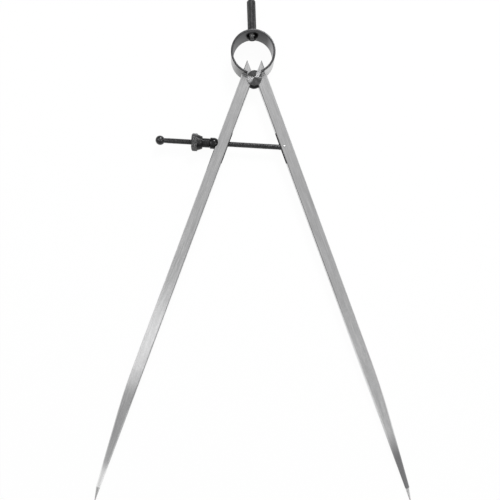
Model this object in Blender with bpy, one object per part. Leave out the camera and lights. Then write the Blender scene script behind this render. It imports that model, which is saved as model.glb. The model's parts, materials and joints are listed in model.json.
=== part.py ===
"""Spring dividers, lying flat as they come to rest.

Two flat legs with a spool between them, a bow spring and its grip, and the adjusting screw with its nut.
Metres, +Z up, origin under the middle of the whole object.

Each piece is drawn in the dividers' own plane: X to the right, Y from the points to the grip and Z through
the thickness, with the spool's axis at X = Y = 0.  One empty carries that plane and tips it to the resting
pose.
"""

import math

import bmesh
import bpy
from mathutils import Euler, Matrix, Vector

MM = 0.001

# Legs.  A leg has its own frame: X outwards from the spool and Y from the point to the horn.
LEG_LENGTH = 300.0 * MM
LEG_OPENING = math.radians(20.3)
LEG_WIDTH = 7.6 * MM
LEG_THICKNESS = 5.0 * MM
LEG_INSET = 1.0 * MM
LEG_CHAMFER = 0.35 * MM
TAPER_LENGTH = 93.0 * MM
TAPER_LEAD = 33.0 * MM
TAPER_RATE = 0.075
NEEDLE_LENGTH = 11.0 * MM
NEEDLE_THICKNESS = 2.4 * MM
NEEDLE_TIP = 0.25 * MM
HORN_LENGTH = 9.5 * MM
HORN_LAND = 0.12 * MM
OCTAGON_SHARE = 1.0 - math.sqrt(0.5)

# Spool between the legs.
SPOOL_RADIUS = 3.0 * MM
FLANGE_RADIUS = 4.88 * MM
FLANGE_THICKNESS = 1.15 * MM
FLANGE_CHAMFER = 0.15 * MM

# Head: bow spring, grip and what holds the grip.  It leans a little, as a whole.
HEAD_LEAN = math.radians(2.1)
HEAD_OFFSET = -0.35 * MM
BOW_RADIUS = 14.55 * MM
BOW_LIFT = 1.4 * MM
BOW_THICKNESS = 1.4 * MM
BOW_WIDTH = 13.8 * MM
BOW_SEAT_DEPTH = 0.85 * MM
PRONG_LENGTH = 2.5 * MM
NOTCH_RADIUS = 2.0 * MM
NOTCH_DEPTH = 1.5 * MM
NOTCH_HEIGHT = 1.5 * MM
GRIP_RADIUS = 2.88 * MM
GRIP_LENGTH = 21.4 * MM
GRIP_CHAMFER = 0.5 * MM
SHANK_RADIUS = 1.5 * MM
COLLAR_RADIUS = 3.7 * MM
COLLAR_EDGE = 0.3 * MM
GRIP_NUT_HEIGHT = 1.3 * MM
GRIP_NUT_END_RADIUS = 2.35 * MM
GRIP_NUT_COUNTERSINK = 0.5 * MM

# Adjusting screw, its pivot in the right leg and its nut outside the left leg.
PIVOT_DISTANCE = 49.0 * MM
PIVOT_INSET = 2.0 * MM
PIN_RADIUS = 0.75 * MM
SCREW_RADIUS = 1.72 * MM
SCREW_LENGTH = 82.2 * MM
BALL_RADIUS = 3.05 * MM
SLOT_WIDTH = 3.84 * MM
SAW_RADIUS = 14.6 * MM
SAW_DEPTH = 4.6 * MM
NOSE_RADIUS = 3.65 * MM
NOSE_STANDOFF = 1.75 * MM
THRUST_WASHER_BODY = 2.35 * MM
THRUST_WASHER_CHAMFER = 0.3 * MM
NUT_NECK_RADIUS = 3.0 * MM
NUT_NECK_LENGTH = 4.95 * MM
NUT_CONE_RADIUS = 4.05 * MM
NUT_CONE_LENGTH = 3.35 * MM
NUT_CONE_END_RADIUS = 5.2 * MM
NUT_FLANGE_RADIUS = 5.72 * MM
NUT_FLANGE_LENGTH = 3.6 * MM
NUT_FLANGE_CHAMFER = 0.6 * MM
KNURL_TEETH = 44
KNURL_DEPTH = 0.3 * MM

# How far the legs swing from here, and what the links do meanwhile.
OPENS_BY = math.radians(11.5)
CLOSES_BY = math.radians(20.3)
SCREW_SWING_SHARE = 0.07
SLOT_SLACK = 0.8 * MM

# Clearances.
SEAT_GAP = 0.25 * MM
FACE_GAP = 0.3 * MM
BORE_GAP = 0.2 * MM
PIN_GAP = 0.1 * MM

# Facets.
ROUND_STEPS = 48
SMALL_STEPS = 24
ARC_STEPS = 72
BALL_STEPS = 12
CUT_MARGIN = 3.0 * MM
MERGE_DISTANCE = 1e-7
SHARP_ANGLE = math.radians(30.0)

# Values that follow from the ones above.
LEG_OUTER = LEG_INSET + LEG_WIDTH
BOW_HEIGHT = BOW_RADIUS + BOW_LIFT
BOW_INNER = BOW_RADIUS - BOW_THICKNESS
BOW_MIDDLE = BOW_RADIUS - BOW_THICKNESS / 2
PIVOT = Vector((LEG_INSET + PIVOT_INSET, -PIVOT_DISTANCE, 0.0))
NOSE_CENTRE = Vector((LEG_OUTER + NOSE_STANDOFF, -PIVOT_DISTANCE, 0.0))
BRIGHT_STEEL = ((0.50, 0.50, 0.50), 0.35)
SPRING_STEEL = ((0.20, 0.20, 0.20), 0.40)
BLACKENED_STEEL = ((0.05, 0.05, 0.05), 0.38)
KNURLED_STEEL = ((0.12, 0.12, 0.12), 0.45)


def clear_scene():
    """Removes whatever objects the open file holds."""
    for old in list(bpy.data.objects):
        bpy.data.objects.remove(old, do_unlink=True)


def steel(name, finish):
    """A metal material with the colour and roughness of one finish."""
    colour, roughness = finish
    made = bpy.data.materials.new(name)
    made.use_nodes = True
    shader = made.node_tree.nodes["Principled BSDF"]
    shader.inputs["Base Color"].default_value = (*colour, 1.0)
    shader.inputs["Metallic"].default_value = 1.0
    shader.inputs["Roughness"].default_value = roughness
    return made


def piece(name, bm, finish, parent, place=(0.0, 0.0, 0.0), turn=0.0):
    """Makes one piece from a bmesh, under its parent, turned about the plane's normal."""
    bmesh.ops.recalc_face_normals(bm, faces=bm.faces)
    mesh = bpy.data.meshes.new(name)
    bm.to_mesh(mesh)
    bm.free()
    mesh.shade_smooth()
    mesh.set_sharp_from_angle(angle=SHARP_ANGLE)
    made = bpy.data.objects.new(name, mesh)
    bpy.context.scene.collection.objects.link(made)
    made.parent = parent
    made.location = place
    made.rotation_euler = Euler((0.0, 0.0, turn))
    if finish is not None:
        mesh.materials.append(steel(name, finish))
    return made


def shape_with(target, tool_name, bm, operation="DIFFERENCE"):
    """Cuts or trims a piece with a tool drawn in the piece's own frame."""
    tool = piece(tool_name, bm, None, target)
    tool.hide_render = True
    tool.display_type = "WIRE"
    step = target.modifiers.new(tool_name, "BOOLEAN")
    step.operation = operation
    step.solver = "EXACT"
    step.object = tool


def loft(rings, closed=False):
    """Skins rings of as many points each; a closed loft joins the last ring to the first."""
    bm = bmesh.new()
    rows = [[bm.verts.new(point) for point in ring] for ring in rings]
    count = len(rows[0])
    pairs = list(zip(rows, rows[1:]))
    if closed:
        pairs.append((rows[-1], rows[0]))
    for row, following in pairs:
        for i in range(count):
            j = (i + 1) % count
            bm.faces.new((row[i], row[j], following[j], following[i]))
    if not closed:
        bm.faces.new(rows[0])
        bm.faces.new(rows[-1])
    return bm


def turned(profile, axis, steps=ROUND_STEPS, closed=False):
    """Spins a profile of (place along the axis, radius) about X, Y or Z."""
    bm = bmesh.new()
    along = Vector([float(letter == axis) for letter in "XYZ"])
    aside = Vector([float(letter == {"X": "Y", "Y": "Z", "Z": "X"}[axis]) for letter in "XYZ"])
    points = [bm.verts.new(along * place + aside * radius) for place, radius in profile]
    edges = [bm.edges.new(pair) for pair in zip(points, points[1:])]
    if closed:
        edges.append(bm.edges.new((points[-1], points[0])))
    geometry = points + edges
    bmesh.ops.spin(bm, geom=geometry, cent=(0, 0, 0), axis=along, angle=math.tau, steps=steps, use_merge=True)
    bmesh.ops.remove_doubles(bm, verts=bm.verts, dist=MERGE_DISTANCE)
    return bm


def prism(outline, half_height):
    """Extrudes an outline in X and Y by the same height on both sides of the plane."""
    return loft([[Vector((x, y, z)) for x, y in outline] for z in (-half_height, half_height)])


def disc(centre, radius, half_height, steps=ROUND_STEPS):
    """A cylinder across the plane."""
    angles = [math.tau * i / steps for i in range(steps)]
    outline = [(centre[0] + radius * math.cos(a), centre[1] + radius * math.sin(a)) for a in angles]
    return prism(outline, half_height)


def moved(bm, offset):
    """The same bmesh, shifted."""
    bmesh.ops.translate(bm, verts=bm.verts, vec=offset)
    return bm


def leg_width(distance):
    """A leg's width at a distance from the spool: straight, then a taper that starts softly."""
    run = distance - (LEG_LENGTH - TAPER_LENGTH)
    if run <= 0.0:
        return LEG_WIDTH
    if run <= TAPER_LEAD:
        return LEG_WIDTH - TAPER_RATE * run * run / (2 * TAPER_LEAD)
    return LEG_WIDTH - TAPER_RATE * (run - TAPER_LEAD / 2)


def leg_section(side, distance, width, thickness, chamfer):
    """An eight-sided section across a leg, with its inner edge on the leg's straight inner line."""
    inner, outer = LEG_INSET, LEG_INSET + width
    half = thickness / 2
    corners = [
        (inner + chamfer, -half),
        (outer - chamfer, -half),
        (outer, -half + chamfer),
        (outer, half - chamfer),
        (outer - chamfer, half),
        (inner + chamfer, half),
        (inner, half - chamfer),
        (inner, -half + chamfer),
    ]
    return [Vector((side * across, -distance, up)) for across, up in corners]


def leg_sections(side):
    """Sections from the horn to the point: flat bar, soft taper to an octagon, then the needle."""
    taper_start = LEG_LENGTH - TAPER_LENGTH
    needle_start = LEG_LENGTH - NEEDLE_LENGTH
    stations = [-HORN_LENGTH, taper_start]
    stations += [taper_start + TAPER_LEAD * share for share in (1 / 3, 2 / 3, 1.0)]
    stations += [needle_start]
    rings = []
    for distance in stations:
        share = max(0.0, (distance - taper_start) / (needle_start - taper_start))
        width = leg_width(distance)
        thickness = LEG_THICKNESS + (NEEDLE_THICKNESS - LEG_THICKNESS) * share
        octagon = OCTAGON_SHARE * min(width, thickness)
        chamfer = LEG_CHAMFER + (octagon - LEG_CHAMFER) * share
        rings.append(leg_section(side, distance, width, thickness, chamfer))
    rings.append(leg_section(side, LEG_LENGTH, NEEDLE_TIP, NEEDLE_TIP, OCTAGON_SHARE * NEEDLE_TIP))
    return rings


def head_cutter(side):
    """Cut from a leg's head: the slope from the horn's tip to the spool, and the seat round the spool."""
    seat = SPOOL_RADIUS + BORE_GAP
    tip = Vector((LEG_OUTER - HORN_LAND, HORN_LENGTH))
    slope_angle = math.atan2(tip.y, tip.x)
    last_angle = -math.acos(LEG_INSET / seat)
    steps = SMALL_STEPS
    angles = [slope_angle + (last_angle - slope_angle) * i / steps for i in range(steps + 1)]
    outline = [tip * (1 + CUT_MARGIN / tip.length)]
    outline += [Vector((seat * math.cos(a), seat * math.sin(a))) for a in angles]
    outline += [Vector((-CUT_MARGIN, outline[-1].y)), Vector((-CUT_MARGIN, outline[0].y))]
    return prism([(side * point.x, point.y) for point in outline], LEG_THICKNESS)


def notch_cutter(side):
    """The round groove in a leg's outer edge that takes the end of the bow spring."""
    centre = (side * (LEG_OUTER + NOTCH_RADIUS - NOTCH_DEPTH), NOTCH_HEIGHT)
    return disc(centre, NOTCH_RADIUS, LEG_THICKNESS)


def saw_cutter(side):
    """The slot that a round saw leaves on a leg's inner edge, for the screw."""
    centre = (side * (LEG_INSET + SAW_DEPTH - SAW_RADIUS), -PIVOT_DISTANCE)
    return disc(centre, SAW_RADIUS, SLOT_WIDTH / 2, ROUND_STEPS * 2)


def screw_vector(opening):
    """From the pivot in the right leg to the nose's centre at the left leg, at a half angle of opening."""
    right = Matrix.Rotation(opening, 3, "Z") @ PIVOT
    left = Matrix.Rotation(-opening, 3, "Z") @ Vector((-NOSE_CENTRE.x, NOSE_CENTRE.y, 0.0))
    return left - right


def screw_slope(opening):
    """How far the screw rises from the right leg to the left one."""
    vector = screw_vector(opening)
    return math.atan2(vector.y, -vector.x)


def passage_cutter():
    """The long hole from the left leg's outer edge to its saw slot, with room for the screw to swing."""
    rest_slope = screw_slope(LEG_OPENING)
    outline = []
    for swing, way in ((OPENS_BY, 1), (-CLOSES_BY, -1)):
        lean = LEG_OPENING + swing - rest_slope - SCREW_SWING_SHARE * swing
        reach = SCREW_RADIUS / math.cos(lean) + SLOT_SLACK
        places = [LEG_OUTER + CUT_MARGIN / 2, LEG_INSET + PIVOT_INSET]
        side_points = []
        for across in places:
            depth = NOSE_CENTRE.x - across
            side_points.append((-across, NOSE_CENTRE.y + depth * math.tan(lean) + way * reach))
        outline += side_points[::way]
    return prism(outline, SLOT_WIDTH / 2)


def ball(radius, steps=ROUND_STEPS):
    """A ball at the origin."""
    angles = [math.pi * i / BALL_STEPS for i in range(BALL_STEPS + 1)]
    return turned([(-radius * math.cos(a), radius * math.sin(a)) for a in angles], "X", steps)


def make_legs(plane):
    """Both legs, each with its origin on the spool's axis."""
    legs = {}
    for name, side in (("left_leg", -1), ("right_leg", 1)):
        leg = piece(name, loft(leg_sections(side)), BRIGHT_STEEL, plane, turn=side * LEG_OPENING)
        shape_with(leg, f"{name}_head_cutter", head_cutter(side))
        shape_with(leg, f"{name}_notch_cutter", notch_cutter(side))
        shape_with(leg, f"{name}_saw_cutter", saw_cutter(side))
        legs[name] = leg
    seat = moved(ball(NOSE_RADIUS + SEAT_GAP), Vector((-NOSE_CENTRE.x, NOSE_CENTRE.y, 0.0)))
    shape_with(legs["left_leg"], "passage_cutter", passage_cutter())
    shape_with(legs["left_leg"], "nose_seat_cutter", seat)
    pin_hole = disc(PIVOT, PIN_RADIUS + PIN_GAP, LEG_THICKNESS, SMALL_STEPS)
    shape_with(legs["right_leg"], "pin_hole_cutter", pin_hole)
    return legs


def make_pivot_pin(right_leg):
    """The pin across the right leg that the screw turns on, flush with both faces."""
    half = LEG_THICKNESS / 2
    profile = [(-half, 0.0), (-half, PIN_RADIUS), (half, PIN_RADIUS), (half, 0.0)]
    return piece("pivot_pin", turned(profile, "Z", SMALL_STEPS), BRIGHT_STEEL, right_leg, PIVOT)


def make_fulcrum_stud(plane):
    """The turned spool that the legs' seats bear on, with a flange over each face."""
    inner = LEG_THICKNESS / 2 + SEAT_GAP
    outer = inner + FLANGE_THICKNESS
    half = [
        (inner, SPOOL_RADIUS),
        (inner, FLANGE_RADIUS),
        (outer - FLANGE_CHAMFER, FLANGE_RADIUS),
        (outer, FLANGE_RADIUS - FLANGE_CHAMFER),
        (outer, 0.0),
    ]
    profile = [(-place, radius) for place, radius in reversed(half)] + half
    return piece("fulcrum_stud", turned(profile, "Z"), BLACKENED_STEEL, plane)


def bow_angle(side, depth):
    """The angle from the bow's lowest point at which its middle line is at a depth inside a leg."""
    normal = Matrix.Rotation(side * LEG_OPENING - HEAD_LEAN, 2) @ Vector((side, 0.0))
    shift = side * math.cos(LEG_OPENING) * HEAD_OFFSET
    wanted = LEG_OUTER - depth - shift - normal.y * BOW_HEIGHT
    tilt = math.atan2(normal.y, side * normal.x)
    return tilt + math.asin(wanted / BOW_MIDDLE)


def bow_sector(start, end, inner, outer, half_width, steps=ARC_STEPS):
    """A stretch of band round the bow's centre, with angles from its lowest point, positive to the right."""
    rings = []
    for i in range(steps + 1):
        angle = start + (end - start) * i / steps
        out = Vector((math.sin(angle), -math.cos(angle), 0.0))
        corners = ((inner, -half_width), (outer, -half_width), (outer, half_width), (inner, half_width))
        rings.append([out * radius + Vector((0.0, BOW_HEIGHT, up)) for radius, up in corners])
    return loft(rings)


def make_bow_spring(head):
    """The bow: a flat band bent into a ring, each end forked over a leg."""
    reach = PRONG_LENGTH / BOW_MIDDLE
    roots = {side: bow_angle(side, BOW_SEAT_DEPTH) for side in (-1, 1)}
    ends = {side: roots[side] - reach for side in (-1, 1)}
    band = bow_sector(ends[1], math.tau - ends[-1], BOW_INNER, BOW_RADIUS, BOW_WIDTH / 2)
    bow = piece("bow_spring", band, SPRING_STEEL, head)
    bore = SHANK_RADIUS + BORE_GAP
    above = BOW_HEIGHT + BOW_RADIUS + CUT_MARGIN
    hole = turned([(BOW_HEIGHT, 0.0), (BOW_HEIGHT, bore), (above, bore), (above, 0.0)], "Y", SMALL_STEPS)
    shape_with(bow, "shank_hole_cutter", hole)
    inner, outer = BOW_INNER - CUT_MARGIN, BOW_RADIUS + CUT_MARGIN
    fork = LEG_THICKNESS / 2 + FACE_GAP
    for side, word in ((-1, "left"), (1, "right")):
        past = roots[side] - 2 * reach
        slot = bow_sector(side * past, side * roots[side], inner, outer, fork, SMALL_STEPS // 4)
        shape_with(bow, f"fork_cutter_{word}", slot)
    return bow


def make_grip(head):
    """The grip with its shank through the bow, the saddle washer inside the bow and the cone nut."""
    shoulder = BOW_HEIGHT + BOW_RADIUS + SEAT_GAP
    top = shoulder + GRIP_LENGTH
    saddle = BOW_INNER - SEAT_GAP
    washer_low = BOW_HEIGHT + math.sqrt(saddle**2 - COLLAR_RADIUS**2) - COLLAR_EDGE
    nut_high = washer_low - BORE_GAP
    nut_low = nut_high - GRIP_NUT_HEIGHT
    bore = SHANK_RADIUS + BORE_GAP
    stud = [
        (nut_low, 0.0),
        (nut_low, SHANK_RADIUS),
        (shoulder, SHANK_RADIUS),
        (shoulder, GRIP_RADIUS),
        (top - GRIP_CHAMFER, GRIP_RADIUS),
        (top, GRIP_RADIUS - GRIP_CHAMFER),
        (top, 0.0),
    ]
    piece("grip_stud", turned(stud, "Y"), BLACKENED_STEEL, head)
    washer_high = BOW_HEIGHT + saddle + CUT_MARGIN
    washer = [(washer_low, bore), (washer_low, COLLAR_RADIUS), (washer_high, COLLAR_RADIUS)]
    washer += [(washer_high, bore)]
    collar = piece("grip_washer", turned(washer, "Y", closed=True), BLACKENED_STEEL, head)
    saddle_disc = disc((0.0, BOW_HEIGHT), saddle, COLLAR_RADIUS * 2, ROUND_STEPS * 4)
    shape_with(collar, "saddle_cutter", saddle_disc, "INTERSECT")
    nut = [
        (nut_high, bore),
        (nut_high, COLLAR_RADIUS),
        (nut_low, GRIP_NUT_END_RADIUS),
        (nut_low, bore + GRIP_NUT_COUNTERSINK),
        (nut_low + GRIP_NUT_COUNTERSINK, bore),
    ]
    piece("grip_nut", turned(nut, "Y", closed=True), BLACKENED_STEEL, head)


def make_screw(right_leg):
    """The adjusting screw, its origin on the pivot and its length along +X to the ball."""
    angles = [math.pi / 2 * i / (BALL_STEPS // 2) for i in range(BALL_STEPS // 2 + 1)]
    profile = [(-SCREW_RADIUS * math.cos(a), SCREW_RADIUS * math.sin(a)) for a in angles]
    first = math.asin(SCREW_RADIUS / BALL_RADIUS)
    angles = [first + (math.pi - first) * i / BALL_STEPS for i in range(BALL_STEPS + 1)]
    profile += [(SCREW_LENGTH - BALL_RADIUS * math.cos(a), BALL_RADIUS * math.sin(a)) for a in angles]
    profile[-1] = (profile[-1][0], 0.0)
    slope = screw_slope(LEG_OPENING)
    turn = math.pi - slope - LEG_OPENING
    rod = turned(profile, "X", SMALL_STEPS)
    screw = piece("adjusting_screw", rod, BLACKENED_STEEL, right_leg, PIVOT, turn)
    hole = disc((0.0, 0.0), PIN_RADIUS + PIN_GAP, SCREW_RADIUS * 2, SMALL_STEPS)
    shape_with(screw, "screw_eye_cutter", hole)
    return screw


def make_thrust_washer(screw):
    """The round-nosed washer between the nut and the left leg, its origin at the nose's centre."""
    bore = SCREW_RADIUS + BORE_GAP
    first = math.asin(bore / NOSE_RADIUS)
    angles = [first + (math.pi / 2 - first) * i / BALL_STEPS for i in range(BALL_STEPS + 1)]
    profile = [(-NOSE_RADIUS * math.cos(a), NOSE_RADIUS * math.sin(a)) for a in angles]
    profile += [
        (THRUST_WASHER_BODY - THRUST_WASHER_CHAMFER, NOSE_RADIUS),
        (THRUST_WASHER_BODY, NOSE_RADIUS - THRUST_WASHER_CHAMFER),
        (THRUST_WASHER_BODY, bore),
    ]
    place = Vector((screw_vector(LEG_OPENING).length, 0.0, 0.0))
    return piece("thrust_washer", turned(profile, "X", closed=True), BLACKENED_STEEL, screw, place)


def knurled_ring(place, radius, depth):
    """A ring of points about X with a tooth on every second one."""
    count = 2 * KNURL_TEETH
    ring = []
    for i in range(count):
        angle = math.tau * i / count
        reach = radius - depth * (i % 2)
        ring.append(Vector((place, reach * math.cos(angle), reach * math.sin(angle))))
    return ring


def make_adjusting_nut(washer):
    """The nut: a neck that bears on the washer, a cone and a knurled flange, in one piece."""
    bore = SCREW_RADIUS + BORE_GAP
    neck_end = NUT_NECK_LENGTH
    cone_end = neck_end + NUT_CONE_LENGTH
    flange_end = cone_end + NUT_FLANGE_LENGTH
    rings = [
        knurled_ring(0.0, bore, 0.0),
        knurled_ring(0.0, NUT_NECK_RADIUS, 0.0),
        knurled_ring(neck_end, NUT_NECK_RADIUS, 0.0),
        knurled_ring(neck_end, NUT_CONE_RADIUS, 0.0),
        knurled_ring(cone_end, NUT_CONE_END_RADIUS, 0.0),
        knurled_ring(cone_end, NUT_FLANGE_RADIUS, KNURL_DEPTH),
        knurled_ring(flange_end - NUT_FLANGE_CHAMFER, NUT_FLANGE_RADIUS, KNURL_DEPTH),
        knurled_ring(flange_end, NUT_FLANGE_RADIUS - NUT_FLANGE_CHAMFER, 0.0),
        knurled_ring(flange_end, bore, 0.0),
    ]
    place = Vector((THRUST_WASHER_BODY + SEAT_GAP, 0.0, 0.0))
    return piece("adjusting_nut", loft(rings, closed=True), KNURLED_STEEL, washer, place)


def lay_down(plane):
    """Tips the plane until it rests on the bow's edge and both legs, and puts the origin under the middle."""
    right_end = bow_angle(1, BOW_SEAT_DEPTH) - PRONG_LENGTH / BOW_MIDDLE
    bow_low = BOW_HEIGHT - BOW_RADIUS * math.cos(right_end)
    needle_start = LEG_LENGTH - NEEDLE_LENGTH
    leg_low = (Matrix.Rotation(LEG_OPENING, 3, "Z") @ Vector((LEG_INSET, -needle_start, 0.0))).y
    drop = (BOW_WIDTH - NEEDLE_THICKNESS) / 2
    plane.rotation_euler = Euler((math.atan2(drop, bow_low - leg_low), 0.0, 0.0))
    bpy.context.view_layer.update()
    graph = bpy.context.evaluated_depsgraph_get()
    corners = []
    for made in bpy.data.objects:
        if made.type == "MESH" and not made.hide_render:
            solid = made.evaluated_get(graph)
            corners += [solid.matrix_world @ vertex.co for vertex in solid.data.vertices]
    low = Vector([min(corner[i] for corner in corners) for i in range(3)])
    high = Vector([max(corner[i] for corner in corners) for i in range(3)])
    plane.location = (-(low.x + high.x) / 2, -(low.y + high.y) / 2, -low.z)


def main():
    """Builds the dividers."""
    clear_scene()
    plane = bpy.data.objects.new("dividers_plane", None)
    head = bpy.data.objects.new("head_frame", None)
    for empty in (plane, head):
        bpy.context.scene.collection.objects.link(empty)
    head.parent = plane
    head.location = (HEAD_OFFSET, 0.0, 0.0)
    head.rotation_euler = Euler((0.0, 0.0, HEAD_LEAN))
    legs = make_legs(plane)
    make_pivot_pin(legs["right_leg"])
    make_fulcrum_stud(plane)
    make_bow_spring(head)
    make_grip(head)
    screw = make_screw(legs["right_leg"])
    washer = make_thrust_washer(screw)
    make_adjusting_nut(washer)
    lay_down(plane)


main()
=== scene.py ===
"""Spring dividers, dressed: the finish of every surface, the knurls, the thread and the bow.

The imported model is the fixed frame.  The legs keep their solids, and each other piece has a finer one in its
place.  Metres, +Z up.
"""

import json
import math

import bpy
from mathutils import Matrix, Vector


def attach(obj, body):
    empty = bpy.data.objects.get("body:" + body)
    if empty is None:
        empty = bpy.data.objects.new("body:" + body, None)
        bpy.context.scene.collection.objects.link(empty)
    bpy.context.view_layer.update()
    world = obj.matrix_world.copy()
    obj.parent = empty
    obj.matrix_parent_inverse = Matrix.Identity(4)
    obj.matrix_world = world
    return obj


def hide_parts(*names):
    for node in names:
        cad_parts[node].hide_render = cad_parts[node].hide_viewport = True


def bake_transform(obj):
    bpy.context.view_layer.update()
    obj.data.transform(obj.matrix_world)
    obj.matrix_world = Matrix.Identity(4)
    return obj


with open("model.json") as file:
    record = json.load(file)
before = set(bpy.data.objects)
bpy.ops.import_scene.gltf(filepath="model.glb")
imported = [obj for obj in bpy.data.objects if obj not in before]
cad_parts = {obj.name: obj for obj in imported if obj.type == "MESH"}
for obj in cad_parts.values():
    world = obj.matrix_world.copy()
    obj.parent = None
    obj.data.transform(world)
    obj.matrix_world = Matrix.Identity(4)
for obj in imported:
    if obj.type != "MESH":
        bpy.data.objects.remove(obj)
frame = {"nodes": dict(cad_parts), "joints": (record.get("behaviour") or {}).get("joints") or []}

bl_info = {
    "name": "Spring Dividers",
    "version": (1, 0, 0),
    "blender": (4, 5, 0),
    "location": "3D View > Sidebar > Dividers",
    "description": "Dresses a pair of spring dividers and lights them on a pale floor",
    "category": "Add Mesh",
}

MM = 0.001
WELD = 1e-7

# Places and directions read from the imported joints.
JOINTS = {joint["name"]: joint for joint in frame["joints"]}
SPOOL_CENTRE = Vector(JOINTS["right_leg_swing"]["pos_m"])
UP = Vector(JOINTS["right_leg_swing"]["axis"]).normalized()
PIVOT = Vector(JOINTS["screw_swing"]["pos_m"])
ALONG_SCREW = Vector(JOINTS["washer_slide"]["axis"]).normalized()
NUT_START = Vector(JOINTS["nut_spin"]["pos_m"])

# The dividers' own plane: X to the right, Y from the points to the grip, Z out of the upper face.
ACROSS = Vector((1.0, 0.0, 0.0))
PLANE = Matrix.Translation(SPOOL_CENTRE) @ Matrix((ACROSS, UP.cross(ACROSS), UP)).transposed().to_4x4()

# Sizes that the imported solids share.
LEG_OPENING = math.radians(20.3)
LEG_LENGTH = 300.0 * MM
LEG_THICKNESS = 5.0 * MM
NEEDLE_LENGTH = 11.0 * MM
LEG_OUTER = 8.6 * MM
HEAD_LEAN = math.radians(2.1)
HEAD_OFFSET = -0.35 * MM
BOW_RADIUS = 14.55 * MM
BOW_HEIGHT = 15.95 * MM
BOW_SEAT_DEPTH = 0.85 * MM
PRONG_LENGTH = 2.5 * MM
FORK_GAP = 0.3 * MM
SEAT_GAP = 0.25 * MM
SHANK_RADIUS = 1.5 * MM
BORE_RADIUS = 1.7 * MM
COLLAR_RADIUS = 3.7 * MM
COLLAR_EDGE = 0.3 * MM
GRIP_NUT_HEIGHT = 1.3 * MM
GRIP_NUT_END_RADIUS = 2.35 * MM
BORE_GAP = 0.2 * MM
SPOOL_RADIUS = 3.0 * MM
SCREW_RADIUS = 1.72 * MM
SCREW_BORE = 1.92 * MM
PIN_RADIUS = 0.75 * MM
PIN_HOLE_RADIUS = 0.85 * MM
WASHER_BODY = 2.35 * MM
NOSE_RADIUS = 3.65 * MM
NUT_NECK_RADIUS = 3.0 * MM
NUT_NECK_LENGTH = 4.95 * MM
NUT_CONE_RADIUS = 4.05 * MM
NUT_CONE_LENGTH = 3.35 * MM
NUT_CONE_END_RADIUS = 5.2 * MM
NUT_FLANGE_RADIUS = 5.72 * MM
NUT_FLANGE_LENGTH = 3.6 * MM
NOTCH_CENTRE = Vector((9.1, 1.5, 0.0)) * MM
NOTCH_RADIUS = 2.0 * MM
SAW_CENTRE = Vector((-9.0, -49.0, 0.0)) * MM
SAW_RADIUS = 14.6 * MM
SLOT_WIDTH = 3.84 * MM

# Where finishes change, and where light and shade are painted on.  Each pair runs from no change to full
# change, and a leg's places are negative below the spool.  END_BLEND is the share of an end's run that has its
# painted tone in full.
# Painted shade on the left leg's taper runs between these two.
SHADE_START = (-212.0 * MM, -226.0 * MM)
SHADE_END = (-284.0 * MM, -272.0 * MM)
END_BLEND = 0.45
DARK_STEEL = (0.10, 0.10, 0.10)
# How far the painted shade of the notch and the saw slot reaches past their edges.
RECESS_SHADE_EDGE = 0.06 * MM
# The prongs are painted dark as shade from this height out.
PRONG_SHADE_FROM = 5.2 * MM
# Painted shade past the grip and a painted reflection at the right side of the bow's inner face run across
# these two.
PAST_GRIP = (-2.0 * MM, 4.0 * MM)
RIGHT_SIDE = (0.62 * BOW_RADIUS, 0.93 * BOW_RADIUS)
# Painted shade darkens the left half's outer face towards its fork across this run.
SHADED_TO_FORK = (BOW_HEIGHT - 0.15 * BOW_RADIUS, BOW_HEIGHT - 0.9 * BOW_RADIUS)
# A painted highlight strip along the front of the grip's nut and saddle, then the worn rim of the adjusting
# nut's flange.
HIGHLIGHT_STRIP = (1.7 * MM, 1.2 * MM)
RUBBED_CONE = (5.1 * MM, 5.3 * MM)

# How squarely a face of the bow has to look out or in to be part of its outer or inner face.
FLAT_ON = 0.98

# Each lamp's name, its place and size in metres, its power in watts, and the point that all of them look at.
LAMPS = (
    ("panel_left", (-0.50, 0.10, 0.65), (0.45, 0.50), 1.7),
    ("panel_upper_right", (0.23, 0.71, 0.66), (0.36, 0.28), 6.0),
    ("panel_right", (0.62, -0.10, 0.62), (0.40, 0.40), 1.6),
    ("panel_lower_left", (-0.27, -0.255, 1.0), (0.10, 0.30), 0.065),
    ("panel_points", (0.04, -0.70, 1.0), (1.2, 0.22), 0.26),
    ("low_left", (-0.68, -0.75, 0.17), (0.50, 0.25), 0.27),
    ("low_right", (0.56, -0.88, 0.12), (0.35, 0.20), 0.17),
    ("low_front", (0.0, -1.1, 0.50), (0.40, 0.25), 0.3),
    ("overhead", (0.0, -0.15, 1.3), (1.8, 2.6), 5.0),
)
LAMP_AIM = SPOOL_CENTRE * 0.4

# The picture that the camera repeats: its side in pixels and pixels per metre, the pixels of the spool and
# of the point under the lens, and how far it is turned.
PICTURE_SIDE = 500.0
PICTURE_SCALE = 1.507 / MM
SPOOL_PIXEL = Vector((253.55, 79.6))
FOOT_PIXEL = Vector((236.0, 262.4))
PICTURE_ROLL = math.radians(0.2)

# The head's frame inside the plane: origin on the spool, leaning a little to the left.
HEAD = PLANE @ Matrix.Translation((HEAD_OFFSET, 0.0, 0.0)) @ Matrix.Rotation(HEAD_LEAN, 4, "Z")


def length(name, description, default):
    """A size in metres that a user may change."""
    return bpy.props.FloatProperty(
        name=name, description=description, default=default, min=0.0, unit="LENGTH", precision=5
    )


def colour(name, description, default):
    """A colour that a user may change."""
    return bpy.props.FloatVectorProperty(
        name=name, description=description, default=default, size=3, min=0.0, max=1.0, subtype="COLOR"
    )


def share(name, description, default):
    """A value from 0 to 1 that a user may change."""
    return bpy.props.FloatProperty(
        name=name, description=description, default=default, min=0.0, max=1.0, subtype="FACTOR"
    )


def count(name, description, default):
    """A whole number that a user may change."""
    return bpy.props.IntProperty(name=name, description=description, default=default, min=3)


def shade(base, factor):
    """A colour made lighter or darker."""
    return [factor * channel for channel in base]


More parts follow.
